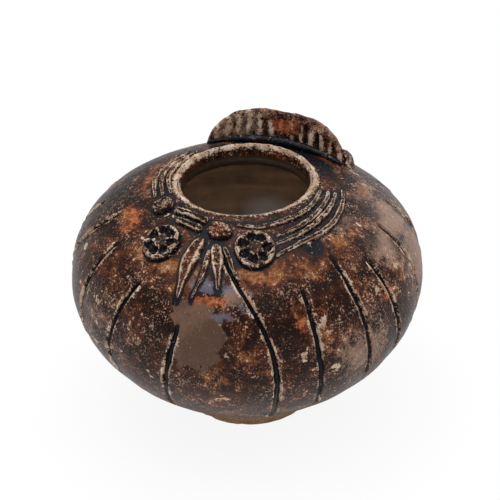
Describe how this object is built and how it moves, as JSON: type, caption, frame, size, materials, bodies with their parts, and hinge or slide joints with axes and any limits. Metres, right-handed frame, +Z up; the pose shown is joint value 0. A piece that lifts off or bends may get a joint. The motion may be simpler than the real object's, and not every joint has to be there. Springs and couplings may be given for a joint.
{
  "type": "lime pot",
  "caption": "Small squat brown-glazed stoneware pot with an open mouth, incised body, flat foot and luted clay ornament of a bird.",
  "frame": {"origin": "centre of the foot's flat underside, on the surface the pot stands on", "axes": "+Z up through the mouth, -Y towards the bird's face, the crest towards +Y, +X to the right seen from the face"},
  "size_m": [0.0903, 0.0903, 0.0717],
  "materials": {
    "brown_glaze": "glossy dark brown glaze, mottled and speckled, pooled blue-black in the incised lines",
    "thin_glaze": "brown glaze run thin over raised clay, tan along the edges",
    "bare_clay": "unglazed yellow-tan stoneware, matte and gritty"
  },
  "bodies": {
    "root": {"pot_body": "brown_glaze", "crest_root_coil": "brown_glaze", "tail_crest": "thin_glaze", "rosette_right": "thin_glaze", "rosette_left": "thin_glaze", "forehead_knot": "thin_glaze", "ear_tuft_left": "thin_glaze", "brow_strip_upper": "thin_glaze", "brow_strip_lower": "thin_glaze", "beak_leaf_left": "thin_glaze", "beak_rib": "thin_glaze", "beak_leaf_centre": "thin_glaze", "beak_leaf_right": "thin_glaze", "wing_coil_right_1": "thin_glaze", "wing_coil_right_2": "thin_glaze", "wing_coil_right_3": "thin_glaze", "wing_coil_right_4": "thin_glaze", "wing_coil_left_1": "thin_glaze", "wing_coil_left_2": "thin_glaze", "wing_coil_left_3": "thin_glaze", "foot_disc": "bare_clay"}
  },
  "joints": []
}
